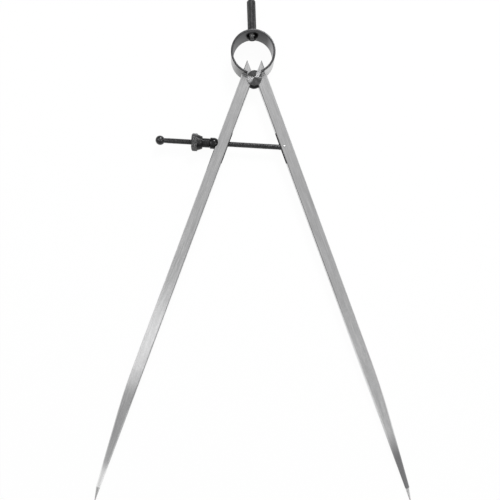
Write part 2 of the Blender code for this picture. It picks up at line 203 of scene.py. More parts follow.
class DividersLegs(bpy.types.PropertyGroup):
    """Finish of the two legs and the pin."""

    light: colour("Light Steel", "Ridges of the lengthwise grinding", (0.86, 0.86, 0.865))
    dark: colour("Dark Steel", "Furrows of the lengthwise grinding", (0.65, 0.65, 0.655))
    roughness: share("Roughness", "How blurred the legs' reflections are", 0.19)
    furrow: length("Furrow Width", "Width of a grinding furrow", 0.35 * MM)
    furrow_run: length("Furrow Run", "How far a furrow runs along the leg", 14.0 * MM)
    relief: length("Furrow Relief", "Depth of the grinding furrows", 0.006 * MM)
    # Painted shade in the notch and the saw slot, where shade falls in them.
    recess_shade: colour("Grime", "Old oil in the slot and the grooves", (0.03, 0.03, 0.03))
    # Painted highlight just above the left needle.
    left_end_highlight: colour("Left End", "Left leg just above its needle", (0.92, 0.92, 0.92))
    left_needle: colour("Left Needle", "Needle point of the left leg", (0.62, 0.62, 0.62))
    # Painted shade along the upper part of the left leg's taper.
    left_shade: share("Left Dull", "How far the left leg is darker along the upper part of its taper", 0.28)
    # Painted shade just above the right needle, and the right needle painted bright as a highlight.
    right_end_shade: colour("Right End", "Right leg just above its needle", (0.25, 0.25, 0.255))
    right_needle_highlight: colour("Right Needle", "Needle point of the right leg", (0.95, 0.95, 0.95))
    # How far the left end's painted highlight and the right end's painted shade run up from their needles.
    left_end_run: length("Left End Run", "How far the left end's finish runs up from its needle", 19.0 * MM)
    right_end_run: length("Right End Run", "The same for the right leg", 44.0 * MM)
    pin: colour("Pin Steel", "Polished end of the pin", (0.80, 0.80, 0.80))
    pin_dome: length("Pin Dome", "How far the pin's end is rounded", 0.08 * MM)


class DividersSpool(bpy.types.PropertyGroup):
    """The turned spool that the legs swing on."""

    radius: length("Flange Radius", "Radius of the flange over each leg", 4.88 * MM)
    thickness: length("Flange Thickness", "Thickness of each flange", 1.15 * MM)
    dome: length("Dome", "How far the face's middle stands above its rim", 0.10 * MM)
    steel: colour("Steel", "Turned face of the flange", (0.17, 0.17, 0.172))
    roughness: share("Roughness", "How blurred the flange's reflections are", 0.29)
    turning: share("Turning", "How far the turning marks draw its reflections out from the middle", 1.0)
    spiral: share("Spiral", "Lie of the turning marks: a quarter runs them round in circles", 0.33)


class DividersBow(bpy.types.PropertyGroup):
    """The ring spring round the head."""

    thickness: length("Thickness", "Thickness of the band", 1.4 * MM)
    width: length("Width", "Width of the band across the dividers", 13.8 * MM)
    edge: length("Edge Round", "Rounding of the band's four long edges", 0.16 * MM)
    steps: count("Steps", "Facets along each half of the ring", 120)
    outside: colour("Outer Face", "Bright outer face of the band", (0.62, 0.62, 0.62))
    inside: colour("Inner Face", "Darker inner face of the band", (0.13, 0.13, 0.133))
    cut_edge: colour("Cut Edge", "Dark edge of the band", (0.075, 0.075, 0.077))
    roughness: share("Roughness", "How blurred the band's reflections are", 0.34)
    # Painted shade on the left half's outer face towards its fork.
    stain_and_shade: share("Stain", "How far the left half's outer face darkens towards its fork", 0.75)
    # Painted shade on the prongs of the fork over each leg.
    prong_shade: colour("Prongs", "Blackened prongs of the fork over each leg", (0.035, 0.035, 0.036))


class DividersGrip(bpy.types.PropertyGroup):
    """The knurled grip and the nut that holds it."""

    radius: length("Radius", "Radius over the knurl", 2.88 * MM)
    height: length("Length", "Length of the grip outside the ring", 21.4 * MM)
    chamfer: length("Chamfer", "Chamfer round the grip's top", 0.5 * MM)
    pitch: length("Knurl Pitch", "Distance between two points of the knurl", 0.62 * MM)
    depth: length("Knurl Depth", "Depth of the knurl", 0.13 * MM)
    steel: colour("Blackened Steel", "Oil blackened steel", (0.055, 0.055, 0.057))
    worn: colour("Worn Steel", "Where the blackening has rubbed off", (0.21, 0.21, 0.21))
    # Painted highlight along the front of the cone nut and its saddle inside the ring.
    nut: colour("Nut Steel", "Cone nut inside the ring, where it is rubbed", (0.80, 0.80, 0.80))
    roughness: share("Roughness", "How blurred the grip's reflections are", 0.34)


class DividersScrew(bpy.types.PropertyGroup):
    """The adjusting screw with its ball end."""

    span: length("Length", "From the pivot to the middle of the ball", 82.2 * MM)
    ball: length("Ball Radius", "Radius of the ball", 3.05 * MM)
    pitch: length("Thread Pitch", "Distance between two turns of the thread", 0.7 * MM)
    depth: length("Thread Depth", "Depth of the thread", 0.12 * MM)
    steel: colour("Blackened Steel", "Oil blackened steel of the screw", (0.075, 0.075, 0.077))
    roughness: share("Roughness", "How blurred the screw's reflections are", 0.36)


class DividersNut(bpy.types.PropertyGroup):
    """The knurled adjusting nut and its thrust washer."""

    teeth: count("Teeth", "Teeth round the flange", 44)
    depth: length("Tooth Depth", "Depth of the flange's knurl", 0.22 * MM)
    steel: colour("Knurl Steel", "Steel of the knurled flange", (0.22, 0.22, 0.223))
    black: colour("Blackened Steel", "Neck and cone", (0.038, 0.038, 0.039))
    roughness: share("Roughness", "How blurred the nut's reflections are", 0.33)


class DividersStage(bpy.types.PropertyGroup):
    """Floor, lamps, surroundings and camera."""

    floor: colour("Floor", "Colour of the floor", (0.93, 0.93, 0.93))
    glow: share("Floor Glow", "How far the floor shows plain white to the camera", 0.96)
    shine: share("Floor Shine", "The same for the floor's reflections, as a share of the glow", 0.60)
    surround: share("Surroundings", "Strength of the even light from all round", 0.15)
    distance: length("Camera Distance", "From the camera to the dividers' plane", 320.0 * MM)


GROUPS = {
    "dividers_legs": DividersLegs,
    "dividers_spool": DividersSpool,
    "dividers_bow": DividersBow,
    "dividers_grip": DividersGrip,
    "dividers_screw": DividersScrew,
    "dividers_nut": DividersNut,
    "dividers_stage": DividersStage,
}


class Value:
    """One output of a shader node; Python's operators on it add Math nodes."""

    def __init__(self, paint, output):
        self.paint = paint
        self.output = output

    def maths(self, operation, *others):
        """A Math node on this value and up to two more."""
        values = dict(enumerate((self, *others)))
        return self.paint.node("ShaderNodeMath", {"operation": operation}, values)

    def __add__(self, other):
        return self.maths("ADD", other)

    __radd__ = __add__

    def __mul__(self, other):
        return self.maths("MULTIPLY", other)

    __rmul__ = __mul__

    def __sub__(self, other):
        return self.maths("SUBTRACT", other)

    def __rsub__(self, other):
        return self.paint.node("ShaderNodeMath", {"operation": "SUBTRACT"}, {0: other, 1: self})

    def __gt__(self, other):
        return self.maths("GREATER_THAN", other)

    def __lt__(self, other):
        return self.maths("LESS_THAN", other)

    def clamped(self):
        """This value kept between 0 and 1."""
        return self.paint.node("ShaderNodeClamp", {}, {"Value": self})

    def spread(self, low, high):
        """0 at low and below, 1 at high and above, and smooth between them."""
        settings = {"interpolation_type": "SMOOTHSTEP"}
        sockets = {"Value": self, "From Min": low, "From Max": high}
        return self.paint.node("ShaderNodeMapRange", settings, sockets)


class Paint:
    """A material or a world being made, with its one shader."""

    def __init__(self, name, kind=bpy.data.materials, shader="Principled BSDF"):
        self.made = kind.new(name)
        self.made.use_nodes = True
        self.tree = self.made.node_tree
        self.shader = self.tree.nodes[shader]

    def feed(self, socket, value):
        """Links a value to a socket, or writes a number, colour or vector on it."""
        if isinstance(value, Value):
            self.tree.links.new(value.output, socket)
        elif socket.type == "RGBA" and len(value) == 3:
            socket.default_value = (*value, 1.0)
        else:
            socket.default_value = value

    def node(self, kind, settings, inputs, output=0):
        """Adds any node: its settings first, then the values or links of its sockets."""
        made = self.tree.nodes.new(kind)
        for name, value in settings.items():
            setattr(made, name, value)
        for name, value in inputs.items():
            self.feed(made.inputs[name], value)
        return Value(self, made.outputs[output])

    def set(self, **sockets):
        """Feeds the shader's sockets, named with _ for each space."""
        for name, value in sockets.items():
            self.feed(self.shader.inputs[name.replace("_", " ")], value)

    def place(self):
        """Where a point is on the object."""
        return self.node("ShaderNodeTexCoord", {}, {}, "Object")

    def local(self, matrix, scale=(1.0, 1.0, 1.0)):
        """Where a point is in a frame of its own, with each axis scaled."""
        inverse = matrix.inverted()
        turned = self.node(
            "ShaderNodeMapping",
            {"vector_type": "POINT"},
            {"Vector": self.place(), "Location": inverse.translation, "Rotation": inverse.to_euler()},
        )
        return self.node("ShaderNodeVectorMath", {"operation": "MULTIPLY"}, {0: turned, 1: scale})

    def axis_of(self, vector, letter):
        """One coordinate of a vector."""
        return self.node("ShaderNodeSeparateXYZ", {}, {"Vector": vector}, letter)

    def off_axis(self, matrix):
        """How far a point is from a frame's Z axis."""
        flat = self.local(matrix, (1.0, 1.0, 0.0))
        return self.node("ShaderNodeVectorMath", {"operation": "LENGTH"}, {0: flat}, "Value")

    def noise(self, vector, scale=1.0, detail=2.0, roughness=0.5):
        """Smooth noise from about 0.25 to 0.75."""
        sockets = {"Vector": vector, "Scale": scale, "Detail": detail, "Roughness": roughness}
        return self.node("ShaderNodeTexNoise", {}, sockets, 0)

    def mix(self, amount, first, second):
        """A colour between two."""
        settings = {"data_type": "RGBA"}
        return self.node("ShaderNodeMix", settings, {0: amount, 6: first, 7: second}, 2)

    def relief(self, height, distance, strength=1.0):
        """Turns a height into the shader's normal."""
        sockets = {"Height": height, "Distance": distance, "Strength": strength}
        self.set(Normal=self.node("ShaderNodeBump", {}, sockets))


def ground_steel(name, side, settings):
    """Bright steel ground along a leg, streaked lengthwise, with painted shade where it is cut into and along
    the left leg's taper, a painted highlight above the left needle, painted shade above the right one, and the
    right needle painted bright as a highlight.
    """
    paint = Paint(name)
    leg = PLANE @ Matrix.Rotation(side * LEG_OPENING, 4, "Z")
    fine = 1.0 / settings.furrow
    grain = paint.noise(paint.local(leg, (fine, 1.0 / settings.furrow_run, fine)), detail=3.0)
    broad = paint.noise(paint.local(leg, (420.0, 30.0, 420.0)), detail=2.0)
    patch = paint.noise(paint.local(leg, (600.0, 330.0, 600.0)), detail=4.0, roughness=0.7)
    tone = (grain * 0.6 + broad * 0.4 + patch * 0.3).spread(0.40, 0.90)
    notch = Matrix.Translation((side * NOTCH_CENTRE.x, NOTCH_CENTRE.y, 0.0))
    saw = Matrix.Translation((side * SAW_CENTRE.x, SAW_CENTRE.y, 0.0))
    height = paint.axis_of(paint.local(leg), "Z").maths("ABSOLUTE")
    # Painted shade: the notch and the saw slot are painted darker, and made rougher, where shade falls in
    # them.
    in_notch = paint.off_axis(leg @ notch) < NOTCH_RADIUS + RECESS_SHADE_EDGE
    in_saw = paint.off_axis(leg @ saw) < SAW_RADIUS + RECESS_SHADE_EDGE
    in_slot = in_saw * (height < SLOT_WIDTH / 2 + RECESS_SHADE_EDGE / 2)
    recess_shade = (in_notch + in_slot).clamped()
    along = paint.axis_of(paint.local(leg), "Y")
    steel = paint.mix(tone, settings.dark, settings.light)
    # Painted light and shade near the points: a highlight on the left end and on the right needle, shade on
    # the right end.
    if side < 0:
        end, needle, run = settings.left_end_highlight, settings.left_needle, settings.left_end_run
        # Painted shade: a band along the upper part of the left leg's taper is painted darker.
        shaded_band = along.spread(*SHADE_START) * along.spread(*SHADE_END)
        steel = paint.mix(shaded_band * settings.left_shade, steel, DARK_STEEL)
    else:
        end, needle, run = settings.right_end_shade, settings.right_needle_highlight, settings.right_end_run
    needle_start = NEEDLE_LENGTH - LEG_LENGTH
    painted_end = along.spread(needle_start + run, needle_start + END_BLEND * run)
    ground = paint.mix(painted_end, steel, end)
    pointed = paint.mix(along < needle_start, ground, needle)
    paint.set(
        Base_Color=paint.mix(recess_shade, pointed, settings.recess_shade),
        Metallic=1.0,
        Roughness=settings.roughness + (grain - 0.5) * 0.12 + recess_shade * 0.3,
    )
    paint.relief(grain, settings.relief)
    return paint.made


def polished_steel(name, steel):
    """Bright polished steel with faint smears."""
    paint = Paint(name)
    smear = paint.noise(paint.place(), scale=900.0, detail=2.0)
    paint.set(Base_Color=paint.mix(smear * 0.3, steel, shade(steel, 0.6)), Metallic=1.0)
    paint.set(Roughness=0.18 + smear * 0.12)
    return paint.made


def turned_steel(settings):
    """Dark turned face of the spool, which catches a lamp in two fans, and darker still round its rim."""
    paint = Paint("turned_steel")
    radius = paint.off_axis(PLANE)
    stain_and_shade = paint.noise(paint.local(PLANE), scale=700.0, detail=3.0)
    edge = radius.spread(settings.radius - 0.5 * MM, settings.radius - 0.1 * MM)
    steel = paint.mix((stain_and_shade - 0.35).clamped() * 0.4, settings.steel, shade(settings.steel, 1.2))
    paint.set(
        Base_Color=paint.mix(edge * 0.6, steel, DARK_STEEL),
        Metallic=1.0,
        Roughness=settings.roughness + stain_and_shade * 0.03,
        Anisotropic=settings.turning,
        Anisotropic_Rotation=settings.spiral,
    )
    return paint.made


def spring_steel(name, steel, roughness, stain_and_shade=0.0, prong_shade=None, prong_width=0.0, worn_and_lit=False):
    """Satin band, rolled round its length.

    It is painted darker towards its fork where a stain is given, as painted shade, and its prongs are painted
    dark as shade where they have a colour.  On the inner face it is painted darker past the grip, as shade,
    and brightest at its right side, as a painted reflection.
    """
    paint = Paint(name)
    cloud = paint.noise(paint.place(), scale=420.0, detail=4.0, roughness=0.6)
    fibre = paint.noise(paint.local(PLANE, (260.0, 260.0, 6500.0)), detail=2.0)
    tone = (cloud * 0.6 + fibre * 0.5).spread(0.35, 0.8)
    base = paint.mix(tone, shade(steel, 0.78), shade(steel, 1.1))
    across = paint.axis_of(paint.local(HEAD), "X")
    # Painted shade past the grip and a painted reflection at the right side of the inner face.
    if worn_and_lit:
        base = paint.mix(across.spread(*PAST_GRIP), base, shade(steel, 0.62))
        base = paint.mix(across.spread(*RIGHT_SIDE), base, shade(steel, 3.1))
    # Painted shade on the outer face towards the fork.
    if stain_and_shade:
        low = paint.axis_of(paint.local(HEAD), "Y").spread(*SHADED_TO_FORK)
        base = paint.mix(low * stain_and_shade, base, shade(steel, 0.2))
    # Painted shade: the prongs' upper parts are painted dark.
    if prong_shade is not None:
        upper = paint.axis_of(paint.local(HEAD), "Z").maths("ABSOLUTE") > PRONG_SHADE_FROM
        base = paint.mix((across.maths("ABSOLUTE") < prong_width) * upper, base, prong_shade)
    paint.set(
        Base_Color=base,
        Metallic=1.0,
        Roughness=roughness + (cloud - 0.5) * 0.2,
    )
    paint.relief(fibre, 0.004 * MM)
    return paint.made


def black_steel(name, steel, roughness, worn=None, axis=None, worn_from=0.0, worn_to=1.0):
    """Oil blackened steel, mottled, and bright outside or inside a radius round an axis: worn on the knurls,
    and a painted highlight along the front of the grip's nut and saddle.
    """
    paint = Paint(name)
    blotch = paint.noise(paint.place(), scale=650.0, detail=4.0, roughness=0.65)
    speck = paint.noise(paint.place(), scale=2600.0, detail=2.0)
    tone = (blotch * 0.6 + speck * 0.4).spread(0.38, 0.68)
    base = paint.mix(tone, shade(steel, 0.6), shade(steel, 1.35))
    if worn is not None:
        worn_and_lit = paint.off_axis(axis).spread(worn_from, worn_to)
        base = paint.mix(worn_and_lit * (blotch * 1.6 - 0.2).clamped(), base, worn)
    paint.set(Base_Color=base, Metallic=0.85, Roughness=roughness + (speck - 0.5) * 0.18)
    paint.relief(speck, 0.006 * MM, 0.5)
    return paint.made


def begin():
    """Leaves nothing selected, so that an operator acts on what comes next alone."""
    bpy.ops.object.select_all(action="DESELECT")


def edit():
    """Opens the active mesh with all of it selected."""
    bpy.ops.object.mode_set(mode="EDIT")
    bpy.ops.mesh.select_all(action="SELECT")


def close_up():
    """Welds the open mesh, turns its faces outwards and leaves edit mode."""
    bpy.ops.mesh.select_all(action="SELECT")
    bpy.ops.mesh.remove_doubles(threshold=WELD)
    bpy.ops.mesh.normals_make_consistent(inside=False)
    bpy.ops.object.mode_set(mode="OBJECT")


def draw(profile):
    """Draws (radius, place) points as one line from a single vertex, in the plane of X and Z."""
    begin()
    bpy.ops.mesh.primitive_plane_add(size=MM)
    edit()
    bpy.ops.mesh.merge(type="CENTER")
    radius, place = profile[0]
    bpy.ops.transform.translate(value=(radius, 0.0, place))
    for (radius, place), (next_radius, next_place) in zip(profile, profile[1:]):
        step = (next_radius - radius, 0.0, next_place - place)
        bpy.ops.mesh.extrude_region_move(TRANSFORM_OT_translate={"value": step})


def turn(name, profile, steps):
    """Turns a piece about Z from (radius, place) points; a bored piece's profile ends where it starts."""
    draw(profile)
    bpy.ops.mesh.select_all(action="SELECT")
    bpy.ops.mesh.spin(steps=steps, angle=math.tau, center=(0, 0, 0), axis=(0, 0, 1))
    close_up()
    piece = bpy.context.object
    piece.name = name
    return piece


def arc(radius, centre, start, end, steps):
    """(radius, place) points of an arc about a point on the axis, with angles from straight up the axis."""
    angles = [start + (end - start) * i / steps for i in range(steps + 1)]
    return [(radius * math.sin(angle), centre + radius * math.cos(angle)) for angle in angles]


def select_verts(piece, wanted):
    """Opens a piece with only the vertices selected that a test of their place picks."""
    bpy.context.view_layer.objects.active = piece
    piece.select_set(True)
    bpy.ops.object.mode_set(mode="EDIT")
    bpy.ops.mesh.select_mode(type="VERT")
    bpy.ops.mesh.select_all(action="DESELECT")
    bpy.ops.object.mode_set(mode="OBJECT")
    for vertex in piece.data.vertices:
        vertex.select = wanted(vertex.co)
    bpy.ops.object.mode_set(mode="EDIT")


def cut(piece, cutter, operation="DIFFERENCE"):
    """Cuts a piece with another mesh, which is then removed."""
    step = piece.modifiers.new("cut", "BOOLEAN")
    step.operation = operation
    step.solver = "EXACT"
    step.object = cutter
    begin()
    bpy.context.view_layer.objects.active = piece
    piece.select_set(True)
    bpy.ops.object.modifier_apply(modifier=step.name)
    bpy.data.objects.remove(cutter, do_unlink=True)


def finish_piece(piece, matrix, *materials, sharp=30.0):
    """Lays a drawn piece in its place, with the place in its mesh, and gives it its finish."""
    begin()
    bpy.context.view_layer.objects.active = piece
    piece.select_set(True)
    piece.matrix_world = matrix @ piece.matrix_world
    bpy.ops.object.transform_apply(location=True, rotation=True, scale=True)
    bpy.ops.object.shade_smooth_by_angle(angle=math.radians(sharp))
    for material in materials:
        piece.data.materials.append(material)
    return piece


def facing(direction, place, up=UP):
    """A frame at a place with its Z along a direction and its X as near to up as it can be."""
    side = up - direction * up.dot(direction)
    side.normalize()
    return Matrix.Translation(place) @ Matrix((side, direction.cross(side), direction)).transposed().to_4x4()


def bow_angle(side, depth, thickness):
    """The angle from the ring's lowest point at which its middle line is at a depth inside a leg."""
    normal = Matrix.Rotation(side * LEG_OPENING - HEAD_LEAN, 2) @ Vector((side, 0.0))
    shift = side * math.cos(LEG_OPENING) * HEAD_OFFSET
    wanted = LEG_OUTER - depth - shift - normal.y * BOW_HEIGHT
    tilt = math.atan2(normal.y, side * normal.x)
    return tilt + math.asin(wanted / (BOW_RADIUS - thickness / 2))


class DIVIDERS_OT_legs(bpy.types.Operator):
    """Grinds the two legs lengthwise and finishes the pin through the right one"""

    bl_idname = "dividers.legs"
    bl_label = "Legs"

    def execute(self, context):
        settings = context.scene.dividers_legs
        for name, side in (("left_leg", -1), ("right_leg", 1)):
            leg = frame["nodes"][name]
            leg.material_slots[0].material = ground_steel(name, side, settings)
        self.pin(settings)
        return {"FINISHED"}

    def pin(self, settings):
        """The pin across the right leg, with both of its ends a little rounded and polished."""
        rings = (0.0, 0.25, 0.5, 0.75, 0.9, 1.0)
        middle = LEG_THICKNESS / 2 + settings.pin_dome / 2
        half = [(PIN_RADIUS * ring, middle - settings.pin_dome * ring**2) for ring in rings]
        pin = turn("pin_polished", half + [(radius, -place) for radius, place in reversed(half)], 32)
        finish_piece(pin, facing(UP, PIVOT, ACROSS), polished_steel("pin_steel", settings.pin), sharp=40.0)
        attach(pin, "right_leg")
        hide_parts("pivot_pin")


class DIVIDERS_OT_spool(bpy.types.Operator):
    """Turns the spool between the legs, with a slight dome on both of its faces"""

    bl_idname = "dividers.spool"
    bl_label = "Spool"

    def execute(self, context):
        settings = context.scene.dividers_spool
        inner = LEG_THICKNESS / 2 + SEAT_GAP
        outer = inner + settings.thickness
        rim = settings.radius - 0.15 * MM
        steps = 16
        face = [(rim * i / steps, outer + settings.dome * (1.0 - (i / steps) ** 2)) for i in range(steps)]
        half = face + [
            (rim, outer),
            (settings.radius - 0.04 * MM, outer - 0.06 * MM),
            (settings.radius, outer - 0.18 * MM),
            (settings.radius, inner + 0.06 * MM),
            (settings.radius - 0.06 * MM, inner),
            (SPOOL_RADIUS, inner),
        ]
        profile = half + [(radius, -place) for radius, place in reversed(half)]
        spool = turn("fulcrum_spool", profile, 128)
        finish_piece(spool, PLANE, turned_steel(settings), sharp=25.0)
        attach(spool, "head")
        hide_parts("fulcrum_stud")
        return {"FINISHED"}


class DIVIDERS_OT_bow(bpy.types.Operator):
    """Bends the ring spring in two halves that meet under the grip"""

    bl_idname = "dividers.bow"
    bl_label = "Bow Spring"

    def execute(self, context):
        settings = context.scene.dividers_bow
        # The inner face gets painted shade past the grip and a painted reflection at its right side.
        inside = spring_steel("spring_inside_painted_light", settings.inside, settings.roughness, worn_and_lit=True)
        cut_edge = spring_steel("spring_edge", settings.cut_edge, settings.roughness)
        middle = BOW_RADIUS - settings.thickness / 2
        centre = Vector((0.0, BOW_HEIGHT, 0.0))
        for side, word, stain_and_shade in ((-1, "left", settings.stain_and_shade), (1, "right", 0.0)):
            root = bow_angle(side, BOW_SEAT_DEPTH, settings.thickness)
            prong_width = middle * math.sin(root)
            outside = spring_steel(
                f"spring_outside_{word}",
                settings.outside,
                settings.roughness,
                stain_and_shade=stain_and_shade,
                prong_shade=settings.prong_shade,
                prong_width=prong_width,
            )
            end = root - PRONG_LENGTH / middle
            begin()
            top = centre + Vector((0.0, middle, 0.0))
            bpy.ops.mesh.primitive_plane_add(size=1.0, location=top, rotation=(0.0, math.pi / 2, 0.0))
            half = context.object
            half.name = f"bow_spring_{word}"
            edit()
            section = (1.0, settings.thickness, settings.width)
            bpy.ops.transform.resize(value=section, center_override=top)
            bpy.ops.mesh.bevel(offset=settings.edge, affect="VERTICES", segments=3)
            bpy.ops.mesh.select_all(action="SELECT")
            bpy.ops.mesh.spin(
                steps=settings.steps, angle=side * (math.pi - end), center=centre, axis=(0.0, 0.0, 1.0)
            )
            close_up()
            self.fork(half, side, root, middle, centre)
            finish_piece(half, HEAD, outside, inside, cut_edge)
            self.share_out(half, HEAD @ centre)
            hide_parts("bow_spring")
            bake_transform(half)
        return {"FINISHED"}

    def share_out(self, half, centre):
        """Gives the band's outer face, its inner face and its cut edges a finish each."""
        for face in half.data.polygons:
            outward = face.center - centre
            outward -= UP * outward.dot(UP)
            facing_out = face.normal.dot(outward.normalized())
            face.material_index = 0 if facing_out > FLAT_ON else 1 if facing_out < -FLAT_ON else 2

    def fork(self, half, side, root, middle, centre):
        """Cuts the slot that the leg sits in from the end of one half."""
        past = 4.0 * MM
        deep = 6.0 * MM
        angle = root - past / middle / 2
        spot = centre + middle * Vector((side * math.sin(angle), -math.cos(angle), 0.0))
        begin()
        bpy.ops.mesh.primitive_cube_add(size=1.0, location=spot, rotation=(0.0, 0.0, side * angle))
        edit()
        turned = Matrix.Rotation(side * angle, 3, "Z")
        bpy.ops.transform.resize(
            value=(past, deep, LEG_THICKNESS + 2 * FORK_GAP),
            orient_matrix=turned.transposed(),
            orient_type="LOCAL",
            center_override=spot,
        )
        bpy.ops.object.mode_set(mode="OBJECT")
        cut(half, bpy.context.object)


class DIVIDERS_OT_grip(bpy.types.Operator):
    """Knurls the grip and makes the washer and the nut that hold it"""

    bl_idname = "dividers.grip"
    bl_label = "Grip"

    def execute(self, context):
        settings = context.scene.dividers_grip
        axis = HEAD @ Matrix.Rotation(-math.pi / 2, 4, "X")
        shoulder = BOW_HEIGHT + BOW_RADIUS + SEAT_GAP
        top = shoulder + settings.height
        inside = BOW_RADIUS - context.scene.dividers_bow.thickness - SEAT_GAP
        washer_low = BOW_HEIGHT + math.sqrt(inside**2 - COLLAR_RADIUS**2) - COLLAR_EDGE
        nut_high = washer_low - BORE_GAP
        nut_low = nut_high - GRIP_NUT_HEIGHT
        teeth = round(math.tau * settings.radius / settings.pitch)
        plain = 0.7 * MM
        rows = round((settings.height - 2 * plain) / settings.pitch) * 2
        low = settings.radius - settings.depth
        start = shoulder + plain
        profile = [(0.0, nut_low + 0.1 * MM), (SHANK_RADIUS - 0.15 * MM, nut_low + 0.1 * MM)]
        profile += [(SHANK_RADIUS, nut_low + 0.25 * MM), (SHANK_RADIUS, shoulder)]
        profile += [(low - 0.1 * MM, shoulder), (low, shoulder + 0.15 * MM)]
        profile += [(low, start + settings.pitch / 2 * i) for i in range(rows + 1)]
        last = profile[-1][1]
        profile += [(low, top - settings.chamfer), (low - settings.chamfer + 0.1 * MM, top), (0.0, top)]
        grip = turn("grip", profile, teeth * 2)

        def peak(point):
            """Every second point of the grid, row by row, as on a crossed knurl."""
            row = (point.z - start) / (settings.pitch / 2)
            if not -0.1 < row < (last - start) / (settings.pitch / 2) + 0.1:
                return False
            column = math.atan2(point.y, point.x) / math.tau * teeth * 2
            return (round(row) + round(column)) % 2 == 1

        select_verts(grip, peak)
        swell = settings.radius / low
        bpy.ops.transform.resize(value=(swell, swell, 1.0), center_override=(0.0, 0.0, 0.0))
        bpy.ops.mesh.select_all(action="SELECT")
        bpy.ops.mesh.quads_convert_to_tris(quad_method="SHORTEST_DIAGONAL")
        bpy.ops.object.mode_set(mode="OBJECT")
        knurled = black_steel(
            "grip_knurl", settings.steel, settings.roughness, settings.worn, axis, low, settings.radius
        )
        finish_piece(grip, axis, knurled, sharp=14.0)
        bore = BORE_RADIUS
        nut = turn(
            "grip_nut_cone",
            [
                (bore, nut_high),
                (COLLAR_RADIUS - 0.2 * MM, nut_high),
                (COLLAR_RADIUS, nut_high - 0.15 * MM),
                (COLLAR_RADIUS - 0.1 * MM, nut_high - 0.35 * MM),
                (GRIP_NUT_END_RADIUS + 0.15 * MM, nut_low + 0.12 * MM),
                (GRIP_NUT_END_RADIUS, nut_low),
                (bore + 0.5 * MM, nut_low),
                (bore, nut_low + 0.5 * MM),
                (bore, nut_high),
            ],
            64,
        )
        # Painted highlight: a bright strip along the front of the nut and the saddle.
        ridge = HEAD @ Vector((-0.45 * MM, nut_high, COLLAR_RADIUS - 0.5 * MM))
        face = facing(HEAD.to_3x3() @ Vector((0.0, 1.0, 0.0)), ridge)
        nut_steel = shade(settings.steel, 0.3)
        worn_and_lit = black_steel("grip_nut_highlighted", nut_steel, 0.22, settings.nut, face, *HIGHLIGHT_STRIP)
        finish_piece(nut, axis, worn_and_lit, sharp=24.0)
        washer = turn(
            "grip_saddle",
            [
                (bore, washer_low),
                (COLLAR_RADIUS, washer_low),
                (COLLAR_RADIUS, BOW_HEIGHT + BOW_RADIUS),
                (bore, BOW_HEIGHT + BOW_RADIUS),
                (bore, washer_low),
            ],
            64,
        )
        begin()
        bpy.ops.mesh.primitive_cylinder_add(
            vertices=256,
            radius=inside,
            depth=COLLAR_RADIUS * 4,
            location=(0.0, 0.0, BOW_HEIGHT),
            rotation=(math.pi / 2, 0.0, 0.0),
        )
        cut(washer, context.object, "INTERSECT")
        finish_piece(washer, axis, worn_and_lit)
        for piece, node in ((grip, "grip_stud"), (nut, "grip_nut"), (washer, "grip_washer")):
            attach(piece, "head")
            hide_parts(node)
        return {"FINISHED"}


class DIVIDERS_OT_screw(bpy.types.Operator):
    """Cuts the fine thread on the adjusting screw and turns its ball"""

    bl_idname = "dividers.screw"
    bl_label = "Adjusting Screw"

    def execute(self, context):
        settings = context.scene.dividers_screw
        axis = facing(ALONG_SCREW, PIVOT)
        core = SCREW_RADIUS - settings.depth
        neck_radius = SCREW_RADIUS * 0.92
        neck = math.asin(neck_radius / settings.ball)
        thread_start = 3.4 * MM
        thread_end = settings.span - settings.ball - 1.1 * MM
        profile = arc(SCREW_RADIUS, 0.0, math.pi, math.pi / 2, 8)
        profile += [(SCREW_RADIUS, thread_start - settings.depth), (core, thread_start)]
        profile += [(core, thread_end), (neck_radius, thread_end + settings.depth)]
        profile += arc(settings.ball, settings.span, math.pi - neck, 0.0, 26)
        profile[0] = (0.0, profile[0][1])
        profile[-1] = (0.0, profile[-1][1])
        rod = turn("screw_rod", profile, 48)
        begin()
        bpy.ops.mesh.primitive_cylinder_add(
            vertices=32, radius=PIN_HOLE_RADIUS, depth=4 * SCREW_RADIUS, rotation=(0.0, math.pi / 2, 0.0)
        )
        cut(rod, context.object)
        turns = int((thread_end - thread_start) / settings.pitch) - 1
        foot = core - 0.05 * MM
        half = settings.pitch * 0.42
        first = thread_start + half
        crest = 0.06 * MM
        ridge_profile = [(foot, first - half), (SCREW_RADIUS, first - crest), (SCREW_RADIUS, first + crest)]
        ridge_profile += [(foot, first + half), (foot, first - half)]
        draw(ridge_profile)
        close_up()
        ridge = context.object
        sweep = ridge.modifiers.new("thread", "SCREW")
        sweep.axis = "Z"
        sweep.angle = math.tau
        sweep.screw_offset = settings.pitch
        sweep.iterations = turns
        sweep.steps = 28
        sweep.render_steps = 28
        sweep.use_merge_vertices = False
        bpy.ops.object.modifier_apply(modifier=sweep.name)
        edit()
        bpy.ops.mesh.fill_holes(sides=4)
        bpy.ops.mesh.select_all(action="SELECT")
        bpy.ops.mesh.normals_make_consistent(inside=False)
        bpy.ops.object.mode_set(mode="OBJECT")
        begin()
        ridge.select_set(True)
        rod.select_set(True)
        context.view_layer.objects.active = rod
        bpy.ops.object.join()
        finish_piece(rod, axis, black_steel("screw_black", settings.steel, settings.roughness), sharp=35.0)
        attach(rod, "adjusting_screw")
        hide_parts("adjusting_screw")
        return {"FINISHED"}


